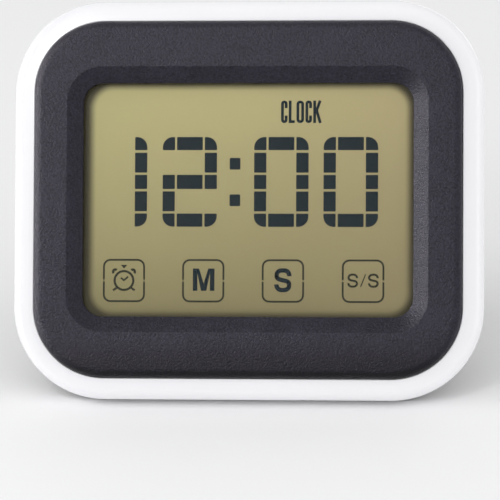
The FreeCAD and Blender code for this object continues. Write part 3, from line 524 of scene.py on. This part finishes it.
# charcoal bezel
bezelSizes = {"inset": 5.15, "back": 4.2, "front": caseSizes["bezelFront"], "round": 2.1, "wall": 1.8,
              "recess": 13.1, "slope": 3.55, "backRound": 0.2, "recessRound": 0.45, "mouthRound": 0.15,
              "bevelEnd": 7.3, "lipBack": 6.5, "seat": 2.9, "ring": 4.55, "ringBack": 4.85,
              "ringMargin": 1.2, "windowHalf": (39.35, 27.8), "windowCorner": 4.8,
              "recessHalf": (42.9, 31.55), "recessCorner": 8.4, "postRadius": 2.2, "postBore": 1.0,
              "postRoot": 0.3, "postBack": 0.5, "postX": 26.0, "postInset": 12.2}


def bezelRows(profile):
    # rows well outside the ring follow the case; the others grow from the window's outline, where the
    # slope ends, to the recess's outline, where it starts
    b = bezelSizes
    inset, y = profile.T
    inner = inset > b["recess"] + b["slope"] - b["ring"] - b["ringMargin"]
    grow = (b["recess"] + b["slope"] - inset) / b["slope"]
    window, recess = b["windowHalf"], b["recessHalf"]
    halfW = np.where(inner, window[0] + grow * (recess[0] - window[0]), caseSizes["width"] / 2 - inset)
    halfH = np.where(inner, window[1] + grow * (recess[1] - window[1]), caseSizes["height"] / 2 - inset)
    corner = np.where(inner, b["windowCorner"] + grow * (b["recessCorner"] - b["windowCorner"]),
                      caseSizes["corner"] - inset)
    return roundedRows(halfW, halfH, corner, np.where(inner, caseSizes["paneZ"], centreZ), y)


def makeBezel():
    # a section of plate, slope, lip and seat carried round, and four sleeves behind the plate
    b = bezelSizes
    recess, window = b["recess"], b["recess"] + b["slope"]
    seat, ring = window - b["seat"], window - b["ring"]
    plate = -b["front"] + b["wall"]
    inner = b["inset"] + b["wall"]
    profile = filleted([(b["inset"], -b["back"], b["backRound"]), (b["inset"], -b["front"], b["round"]),
                        (recess, -b["front"], b["recessRound"]), (window, -b["bevelEnd"], b["mouthRound"]),
                        (window, -b["lipBack"], 0), (seat, -b["lipBack"], 0), (seat, -b["ringBack"], 0),
                        (ring, -b["ringBack"], 0), (ring, plate, 0), (inner, plate, 0),
                        (inner, -b["back"], 0)], steps=10)
    rows = bezelRows(profile)
    shells = [(rows, gridFaces(*rows.shape[:2], wrapRows=True))]
    z = caseSizes["height"] / 2 - b["postInset"]
    for sx in (-1, 1):
        for sz in (-1, 1):
            shells.append(tube(b["postRadius"], sx * b["postX"], centreZ + sz * z, plate - b["postRoot"],
                               b["postBack"], b["postBore"]))
    keepPiece("screenBezel", meshFrom("screenBezel", shells), "bezel_charcoal", stands=("bezel",))


makeBezel()
print("rim and bezel made")

# clear pane over the display
paneSizes = {"halfW": 41.95, "halfH": 30.4, "corner": 7.4, "front": 6.3, "back": 4.93, "nip": 0.12}


def makeClearPane():
    # a slab with a nipped edge: rows drawn in at both faces, closed by a flat cap at each end
    p = paneSizes
    profile = np.array([(p["nip"], -p["back"]), (0, -p["back"] - p["nip"]),
                        (0, -p["front"] + p["nip"]), (p["nip"], -p["front"])])
    inset, y = profile.T
    rows = roundedRows(p["halfW"] - inset, p["halfH"] - inset, p["corner"] - inset,
                       np.full(len(inset), caseSizes["paneZ"]), y)
    size = rows.shape[:2]
    mesh = meshFrom("clearPane", [(rows, gridFaces(*size), *flatEnds(*size))])
    keepPiece("clearPane", mesh, "clear_window", stands=("display_window", "touch_film"))


makeClearPane()

# what the display shows
art = {"plane": -4.85, "proud": 0.03, "digitTop": 15.1,
       "rows": ((0, 3.13), (3.75, 8.5), (9.03, 12.41), (12.98, 17.73), (18.26, 21.4)),
       "columns": ((0, 2.92), (3.4, 9.56), (10.04, 12.98)), "round": 2.45, "nip": 0.2, "mitre": 0.45}


def prism(outline):
    # an outline in the display's plane, given a hair of thickness
    outline = np.asarray(outline, float)
    count = len(outline)
    z = outline[:, 1] + caseSizes["paneZ"]
    rows = np.stack([np.column_stack([outline[:, 0], np.full(count, y), z])
                     for y in (art["plane"], art["plane"] - art["proud"])])
    return rows, gridFaces(2, count), *flatEnds(2, count)


def ribbon(path, width, closed=False):
    # every point steps half the width to either side, along the mitred normal of its two runs, and
    # the mitre is the least that their angle may shrink the step's divisor to
    p = np.asarray(path, float)
    before = np.roll(p, 1, 0) if closed else np.vstack([2 * p[0] - p[1], p[:-1]])
    after = np.roll(p, -1, 0) if closed else np.vstack([p[1:], 2 * p[-1] - p[-2]])
    arrive = (p - before) / np.linalg.norm(p - before, axis=1)[:, None]
    leave = (after - p) / np.linalg.norm(after - p, axis=1)[:, None]
    normal = np.column_stack([-arrive[:, 1] - leave[:, 1], arrive[:, 0] + leave[:, 0]])
    normal /= np.linalg.norm(normal, axis=1)[:, None]
    across = normal[:, 1] * arrive[:, 0] - normal[:, 0] * arrive[:, 1]
    step = normal * (width / 2 / np.clip(across, art["mitre"], 1))[:, None]
    front, back = art["plane"] - art["proud"], art["plane"]
    rails = [(p + step, back), (p + step, front), (p - step, front), (p - step, back)]
    rows = np.stack([np.column_stack([rail[:, 0], np.full(len(p), y), rail[:, 1] + caseSizes["paneZ"]])
                     for rail, y in rails], 1)
    ends = () if closed else flatEnds(len(p), len(rails))
    return rows, gridFaces(len(p), len(rails), wrapRows=closed), *ends


def keepArt(name, shells, material=inkDark):
    # inked shapes, which count as part of the display
    keepPiece(name, meshFrom(name, shells), "display_glass", material=material)


def digitCell(left, column, row, rounded):
    # a box between two columns and two rows; rounded names its quarter-round corner as (side, end)
    x0, x1 = (left + edge for edge in art["columns"][column])
    z1, z0 = (art["digitTop"] - edge for edge in art["rows"][row])
    spots = [(x0, z0, (-1, -1)), (x1, z0, (1, -1)), (x1, z1, (1, 1)), (x0, z1, (-1, 1))]
    return prism(filleted([(x, z, art["round"] if corner == rounded else art["nip"])
                           for x, z, corner in spots]))


# each digit lists its lit cells by column and row, and each round corner by column and row
allRound = {(0, 0): (-1, 1), (2, 0): (1, 1), (0, 4): (-1, -1), (2, 4): (1, -1)}
digitCells = {
    "1": ([(2, r) for r in range(5)], {(2, 0): (1, 1), (2, 4): (1, -1)}),
    "2": ([(0, 0), (1, 0), (2, 0), (2, 1), (0, 2), (1, 2), (2, 2), (0, 3), (0, 4), (1, 4), (2, 4)],
          allRound),
    "0": ([(c, r) for c in (0, 2) for r in range(5)] + [(1, 0), (1, 4)], allRound),
}
digitLefts = (("1", -37.2), ("2", -20.5), ("0", 1.36), ("0", 17.9))
colon = {"left": -4.48, "right": -1.92, "heights": (8.72, 0.02), "half": 1.39, "round": 0.25}


def makeDigits():
    # twelve o'clock in lit cells, with a colon of two square dots
    shells = []
    for digit, left in digitLefts:
        cells, rounds = digitCells[digit]
        shells += [digitCell(left, c, r, rounds.get((c, r))) for c, r in cells]
    left, right, half, bend = (colon[key] for key in ("left", "right", "half", "round"))
    for z in colon["heights"]:
        shells.append(prism(filleted([(left, z - half, bend), (right, z - half, bend),
                                      (right, z + half, bend), (left, z + half, bend)], steps=4)))
    keepArt("clockDigits", shells)


makeDigits()


def moved(path, x, z):
    # the same path, further right by x and further up by z
    return np.asarray(path, float) + (x, z)


# shares of a letter's half height, and of its bend; the slack keeps two round corners apart
strokes = {"hookS": 0.42, "waist": 0.16, "waistBend": 0.85, "hookC": 0.38, "slack": 0.02}


def letterS(halfW, halfH, bend):
    # two bowls joined by a sloping waist
    hook, waist, slant = strokes["hookS"] * halfH, strokes["waist"] * halfH, strokes["waistBend"] * bend
    return filleted([(halfW, hook, 0), (halfW, halfH, bend), (-halfW, halfH, bend),
                     (-halfW, waist, slant), (halfW, -waist, slant), (halfW, -halfH, bend),
                     (-halfW, -halfH, bend), (-halfW, -hook, 0)], closed=False)


def letterC(halfW, halfH):
    # a tall ring, open on the right between its two hooks
    hook, bend = strokes["hookC"] * halfH, halfW - strokes["slack"]
    return filleted([(halfW, hook, 0), (halfW, halfH, bend), (-halfW, halfH, bend),
                     (-halfW, -halfH, bend), (halfW, -halfH, bend), (halfW, -hook, 0)], closed=False)


def letterO(halfW, halfH):
    # a tall ring
    bend = halfW - strokes["slack"]
    return filleted([(-halfW, -halfH, bend), (halfW, -halfH, bend), (halfW, halfH, bend),
                     (-halfW, halfH, bend)])


word = {"left": 7.72, "z": 21.1, "stroke": 0.66, "halfH": 2.34, "firstC": (0.77, 0.44),
        "stemL": 2.15, "footL": 3.28, "ringO": (4.57, 0.57), "secondC": (6.58, 0.44),
        "stemK": 8.0, "armK": ((8.2, -0.45), (9.3, 2.67)), "legK": ((8.42, 0.5), (9.36, -2.67))}


def makeWord():
    # CLOCK in narrow heavy capitals, each stroke a ribbon along its middle line
    w = word
    halfH, over = w["halfH"], w["stroke"] / 2
    lines = [moved(letterC(half, halfH), x, 0) for x, half in (w["firstC"], w["secondC"])]
    lines.append([(w["stemL"], halfH + over), (w["stemL"], -halfH), (w["footL"], -halfH)])
    lines.append([(w["stemK"], -halfH - over), (w["stemK"], halfH + over)])
    lines += [w["armK"], w["legK"]]
    shells = [ribbon(moved(line, w["left"], w["z"]), w["stroke"]) for line in lines]
    x, half = w["ringO"]
    shells.append(ribbon(moved(letterO(half, halfH), w["left"] + x, w["z"]), w["stroke"], closed=True))
    keepArt("modeWord", shells)


makeWord()

# the four touch keys
keys = {"centres": (-29.63, -10.65, 8.35, 27.39), "z": -19.17, "half": (4.82, 4.93), "round": 1.6,
        "line": 0.45, "gap": 0.2}


def makeKeyOutlines():
    # each key's square is two round-cornered halves, with a gap between them on either side
    shells = []
    w, h = keys["half"]
    for x in keys["centres"]:
        for side in (-1, 1):
            half = filleted([(-w, side * keys["gap"], 0), (-w, side * h, keys["round"]),
                             (w, side * h, keys["round"]), (w, side * keys["gap"], 0)], closed=False)
            shells.append(ribbon(moved(half, x, keys["z"]), keys["line"]))
    keepArt("keyOutlines", shells, inkLine)


makeKeyOutlines()


def arc(x, z, radius, start, end, steps=24):
    # points round a centre, from the start angle to the end angle, in degrees
    turn = np.radians(np.linspace(start, end, steps + 1))
    return np.column_stack([x + radius * np.cos(turn), z + radius * np.sin(turn)])


alarm = {"ring": 2.24, "ringLine": 0.54, "ringSteps": 48, "handLine": 0.42,
         "hands": ((-0.75, 0.67), (0.0, 0.05), (0.98, 0.93)),
         "mark": ((-0.78, 3.73), (0.0, 2.85), (0.78, 3.73)),
         "foot": ((1.55, -1.6), (2.6, -2.35)), "footLine": 0.5,
         "bell": (2.1, 2.1), "bellRound": 0.5, "bellLine": 0.6, "bellTurn": (135, 45)}


def makeAlarmIcon():
    # a ring with two hands, a mark above, and a bell and a foot on each side
    a = alarm
    x, z = keys["centres"][0], keys["z"]
    ring = arc(0, 0, a["ring"], 0, 360, a["ringSteps"])[:-1]
    shells = [ribbon(moved(ring, x, z), a["ringLine"], closed=True),
              ribbon(moved(a["hands"], x, z), a["handLine"]),
              prism(moved(a["mark"], x, z))]
    for side in (-1, 1):
        shells.append(ribbon(moved(np.array(a["foot"]) * (side, 1), x, z), a["footLine"]))
        start, end = 90 - side * a["bellTurn"][0], 90 + side * a["bellTurn"][1]
        bell = arc(side * a["bell"][0], a["bell"][1], a["bellRound"], start, end)
        shells.append(ribbon(moved(bell, x, z), a["bellLine"]))
    keepArt("alarmIcon", shells, inkLine)


makeAlarmIcon()
letters = {"rise": 0.26,
           "M": {"half": 2.58, "top": 2.65, "stem": 1.5, "seat": 1.5, "foot": 0.62, "arm": 1.1,
                 "dip": -0.9, "aside": 0.1},
           "S": {"half": (1.52, 2.32), "bend": 1.17, "line": 1.05, "drop": 0.08},
           "small": {"half": (1.02, 1.42), "bend": 0.8, "line": 0.5, "apart": 2.45, "drop": 0.12,
                     "slash": ((-0.58, -1.48), (0.6, 1.5)), "slashLine": 0.27}}


def makeKeyLetters():
    # M as one outline, its left half the mirror of its right; S and a small S/S in ribbons
    z = keys["z"] + letters["rise"]
    m, s, small = letters["M"], letters["S"], letters["small"]
    right = [(m["foot"], -m["top"]), (m["stem"], m["seat"]), (m["stem"], -m["top"]), (m["half"], -m["top"]),
             (m["half"], m["top"]), (m["arm"], m["top"]), (0, m["dip"])]
    outline = right + [(-u, v) for u, v in right[-2::-1]]
    shells = [prism(moved(outline, keys["centres"][1] + m["aside"], z)),
              ribbon(moved(letterS(*s["half"], s["bend"]), keys["centres"][2], z - s["drop"]), s["line"])]
    keepArt("keyLetters", shells)
    x, z = keys["centres"][3], z - small["drop"]
    smallS = letterS(*small["half"], small["bend"])
    shells = [ribbon(moved(smallS, x + side * small["apart"], z), small["line"]) for side in (-1, 1)]
    shells.append(ribbon(moved(small["slash"], x, z), small["slashLine"]))
    keepArt("keySmallLetters", shells, inkLine)


makeKeyLetters()
print("display drawn")

# pieces that keep their solids' shapes; merge is in metres, and flat is in degrees
dressSizes = {"merge": 2e-6, "flat": 0.4, "segments": 2, "weight": 100}


def dress(name, node, slot, body="case", soften=0.0, limit=32.0):
    # a solid's own mesh, merged, its flat faces joined, and its sharp edges bevelled by soften
    work = bmesh.new()
    work.from_mesh(nodes[node].data)
    bmesh.ops.remove_doubles(work, verts=work.verts, dist=dressSizes["merge"])
    bmesh.ops.dissolve_limit(work, angle_limit=math.radians(dressSizes["flat"]), verts=work.verts,
                             edges=work.edges)
    mesh = cleanMesh(bpy.data.meshes.new(name), work, limit)
    piece = keepPiece(name, mesh, slot, body, stands=(node,))
    if soften:
        bevel = piece.modifiers.new("softEdges", "BEVEL")
        bevel.width = soften * mm
        bevel.segments = dressSizes["segments"]
        bevel.limit_method = "ANGLE"
        bevel.angle_limit = math.radians(limit)
        bevel.use_clamp_overlap = True
    even = piece.modifiers.new("evenNormals", "WEIGHTED_NORMAL")
    even.weight = dressSizes["weight"]
    even.keep_sharp = True


dress("rearShell", "rear_housing", "housing_charcoal", soften=0.25)
dress("foldingStand", "stand", "stand_charcoal", "stand", soften=0.45)
dress("cellDoor", "battery_door", "housing_charcoal", "battery_door", soften=0.2)
dress("plusPlate", "plus_contact", "contact_plating", soften=0.05)
dress("minusSpring", "minus_contact", "contact_plating", limit=70)
dress("bridgeSprings", "bridge_contact", "contact_plating", limit=70)
print("shells, stand and contacts dressed")

# rear screws
screwSizes = {"seat": 3.6, "head": 2.1, "headH": 1.5, "round": 0.55, "underRound": 0.1, "shank": 1.1,
              "length": 6.0, "flat": 1.05, "crossHalf": 0.3, "crossReach": 1.2, "crossDepth": 0.8,
              "crossTaper": 0.7, "tipSteps": 4, "sideSteps": 8, "least": 1e-9, "crisp": 35}


def makeScrews():
    # a profile turned about the screw's axis; its last rows narrow from the circle to a cross
    s = screwSizes
    half, reach = s["crossHalf"], s["crossReach"]
    corner = math.atan2(half, reach)
    quarter = np.concatenate([np.linspace(-corner, corner, s["tipSteps"], endpoint=False),
                              np.linspace(corner, math.pi / 2 - corner, s["sideSteps"], endpoint=False)])
    turn = np.concatenate([quarter + k * math.pi / 2 for k in range(4)])
    # the edge of a plus sign along each ray is the farther of its two bars' edges
    cosine, sine = np.maximum(np.abs([np.cos(turn), np.sin(turn)]), s["least"])
    cross = np.maximum(np.minimum(reach / cosine, half / sine), np.minimum(half / cosine, reach / sine))
    top = s["seat"] + s["headH"]
    side = filleted([(s["shank"], s["seat"] - s["length"], 0), (s["shank"], s["seat"], 0),
                     (s["head"], s["seat"], s["underRound"]), (s["head"], top, s["round"]),
                     (reach * s["flat"], top, 0)], closed=False, steps=6)
    radii = np.vstack([np.repeat(side[:, :1], len(turn), 1), cross, cross * s["crossTaper"]])
    depths = np.append(side[:, 1], [top, top - s["crossDepth"]])[:, None]
    size = radii.shape
    shells = []
    for x, z in caseCorners():
        rows = np.stack([x + radii * np.cos(turn), depths + 0 * radii, z + radii * np.sin(turn)], -1)
        shells.append((rows, gridFaces(*size), *flatEnds(*size)))
    mesh = meshFrom("rearScrews", shells, crisp=s["crisp"])
    keepPiece("rearScrews", mesh, "screw_steel", stands=("case_screws",))


makeScrews()

# cells; a face whose centre lies within the bare share of the radius is metal, and merge is in metres
cellSizes = {"radius": 5.25, "length": 43.3, "roll": 0.7, "nubRadius": 1.9, "nubLength": 1.2,
             "nubRound": 0.25, "nubRoot": 0.2, "tip": 0.001, "bare": 0.93, "sides": 64, "crisp": 40,
             "merge": 4e-6}


def makeCell(name, node, side):
    # a profile of (distance from the plus tip, radius) turned about the cell's axis
    c = cellSizes
    low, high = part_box(node)
    middle = (low + high) / 2
    end = c["nubLength"] + c["length"]
    profile = filleted([(0, c["tip"], 0), (0, c["nubRadius"], c["nubRound"]),
                        (c["nubLength"], c["nubRadius"], c["nubRoot"]),
                        (c["nubLength"], c["radius"], c["roll"]), (end, c["radius"], c["roll"]),
                        (end, c["tip"], 0)], closed=False, steps=6)
    along, reach = profile.T[:, :, None] * mm
    turn = np.linspace(0, 2 * math.pi, c["sides"], endpoint=False)
    tip = high.x if side > 0 else low.x
    rows = np.stack([tip - side * along + 0 * turn, middle.y + reach * np.cos(turn),
                     middle.z + reach * np.sin(turn)], -1)
    shells = [(rows, gridFaces(*rows.shape[:2]))]
    mesh = meshFrom(name, shells, crisp=c["crisp"], merge=c["merge"], place=np.asarray)
    keepPiece(name, mesh, "cell_jacket", stands=(node,))
    mesh.materials.append(finishes["contact_plating"])
    centres = np.zeros(len(mesh.polygons) * 3)
    mesh.polygons.foreach_get("center", centres)
    y, z = centres.reshape(-1, 3).T[1:]
    bare = np.hypot(y - middle.y, z - middle.z) < c["radius"] * c["bare"] * mm
    mesh.polygons.foreach_set("material_index", bare.astype(np.int32))


makeCell("upperCell", "upper_battery", 1)
makeCell("lowerCell", "lower_battery", -1)
print("screws and cells made")

# inner pieces that keep their own mesh
nodeSlots = {"window_tape": "black_tape", "touch_tail": "flex_tail", "lcd_front_glass": "display_glass",
             "lcd_rear_glass": "display_glass", "lcd_reflector": "reflector",
             "lcd_contact_strip": "contact_rubber", "lcd_holder": "holder_white",
             "main_board": "board_green", "board_screws": "screw_steel", "controller_chip": "chip_resin",
             "crystal": "can_metal", "board_capacitors": "capacitor_brown",
             "buzzer_disc": "buzzer_brass", "buzzer_wires": "wire_black", "red_wire": "wire_red",
             "black_wire": "wire_black"}
for nodeName, slotName in nodeSlots.items():
    nodes[nodeName].data.materials.clear()
    nodes[nodeName].data.materials.append(finishes[slotName])
print("inner pieces coloured")

# floor, light and camera; half and drop are in metres
floorLook = {"half": 3.0, "drop": 0.00002, "cloud": 90, "dark": (0.93, 0.93, 0.935),
             "light": (0.95, 0.95, 0.955), "rough": 0.75, "gloss": 0.2}


def makeFloor():
    # one pale square a hair under the clock's lowest point
    look = floorLook
    half, z = look["half"], cadBounds[0].z - look["drop"]
    mesh = bpy.data.meshes.new("paleFloor")
    mesh.from_pydata([(-half, -half, z), (half, -half, z), (half, half, z), (-half, half, z)], [],
                     [(0, 1, 2, 3)])
    finish = Finish("paleFloor")
    colour = finish.blend(finish.noise(look["cloud"]), look["dark"], look["light"])
    mesh.materials.append(finish.surface(Base_Color=colour, Roughness=look["rough"],
                                         Specular_IOR_Level=look["gloss"]))
    floor = bpy.data.objects.new("paleFloor", mesh)
    bpy.context.scene.collection.objects.link(floor)


makeFloor()
# each lamp faces the case's middle from a place in the case's axes, in millimetres; its size is in
# metres and its power in watts
lamps = {
    "leftBox": {"spot": (-840, -270, 90), "size": (0.22, 0.7), "power": 1.8},
    "rightBox": {"spot": (760, -430, 120), "size": (0.3, 0.6), "power": 0.85},
    "frontBox": {"spot": (-132, -380, 155), "size": (0.08, 0.08), "power": 0.22},
    "cornerSheen": {"spot": (-132, -380, 155), "size": (0.08, 0.08), "power": 0.85, "glossOnly": True},
    "rightSheen": {"spot": (78, -380, 50), "size": (0.03, 0.1), "power": 0.06, "glossOnly": True},
    "leftSheen": {"spot": (-860, -190, 120), "size": (0.2, 0.7), "power": 18.0, "glossOnly": True},
    "backBox": {"spot": (300, 900, 260), "size": (0.6, 0.6), "power": 1.4},
}


def makeLamps():
    # soft boxes; one that is for gloss only adds nothing to the plain light on a surface
    aim = Vector(toWorld([(0, 0, centreZ)])[0])
    for name, look in lamps.items():
        lamp = bpy.data.lights.new(name, "AREA")
        lamp.shape = "RECTANGLE"
        lamp.size, lamp.size_y = look["size"]
        lamp.energy = look["power"]
        holder = bpy.data.objects.new(name, lamp)
        bpy.context.scene.collection.objects.link(holder)
        holder.visible_diffuse = not look.get("glossOnly", False)
        holder.location = toWorld([look["spot"]])[0]
        holder.rotation_euler = (holder.location - aim).to_track_quat("Z", "Y").to_euler()


makeLamps()
skyLook = {"colour": (1.0, 1.0, 1.0), "fill": 0.80, "shown": 1.0}


def makeSky():
    # the room lights the clock gently, and shows as white to the eye, in gloss and through glass
    look = skyLook
    finish = Finish("paleRoom", isRoom=True)
    shown = finish.node("ShaderNodeLightPath", output="Is Camera Ray")
    for ray in ("Is Glossy Ray", "Is Transmission Ray"):
        shown = shown.atLeast(finish.node("ShaderNodeLightPath", output=ray))
    strength = finish.node("ShaderNodeMapRange", None,
                           {"Value": shown, "To Min": look["fill"], "To Max": look["shown"]})
    glow = finish.node("ShaderNodeBackground", None, {"Color": look["colour"], "Strength": strength})
    bpy.context.scene.world = finish.done(glow, "ShaderNodeOutputWorld")


makeSky()
# angles in degrees, the distance and the target in millimetres, the clip's two ends in metres
cameraLook = {"yaw": 4.6209, "pitch": -3.0508, "roll": 0.3143, "distance": 744.945, "lens": 226.38,
              "target": (0, -8, 47.5), "aimRight": 0.05065, "aimDown": 0.9215, "clip": (0.02, 20)}


def makeCamera():
    # an orbit round the case's middle, then the aim turned a little right and down
    c = cameraLook
    yaw, pitch, roll = (math.radians(c[k]) for k in ("yaw", "pitch", "roll"))
    back = Vector((math.sin(yaw) * math.cos(pitch), -math.cos(yaw) * math.cos(pitch), math.sin(pitch)))
    right = Vector((math.cos(yaw), math.sin(yaw), 0))
    up = right.cross(-back)
    right, up = (right * math.cos(roll) + up * math.sin(roll), up * math.cos(roll) - right * math.sin(roll))
    forward = (-back + right * math.tan(math.radians(c["aimRight"]))
               - up * math.tan(math.radians(c["aimDown"]))).normalized()
    right = (right - forward * right.dot(forward)).normalized()
    up = right.cross(forward)
    spot = Vector(c["target"]) + back * c["distance"]
    turn = lean @ Matrix((right, up, -forward)).transposed()
    data = bpy.data.cameras.new("camera")
    data.lens = c["lens"]
    data.clip_start, data.clip_end = c["clip"]
    camera = bpy.data.objects.new("camera", data)
    bpy.context.scene.collection.objects.link(camera)
    camera.matrix_world = Matrix.Translation(Vector(toWorld([spot])[0])) @ turn.to_4x4()
    bpy.context.scene.camera = camera


makeCamera()
bpy.context.scene.view_settings.view_transform = "Standard"
print("stage set")

bpy.context.view_layer.update()
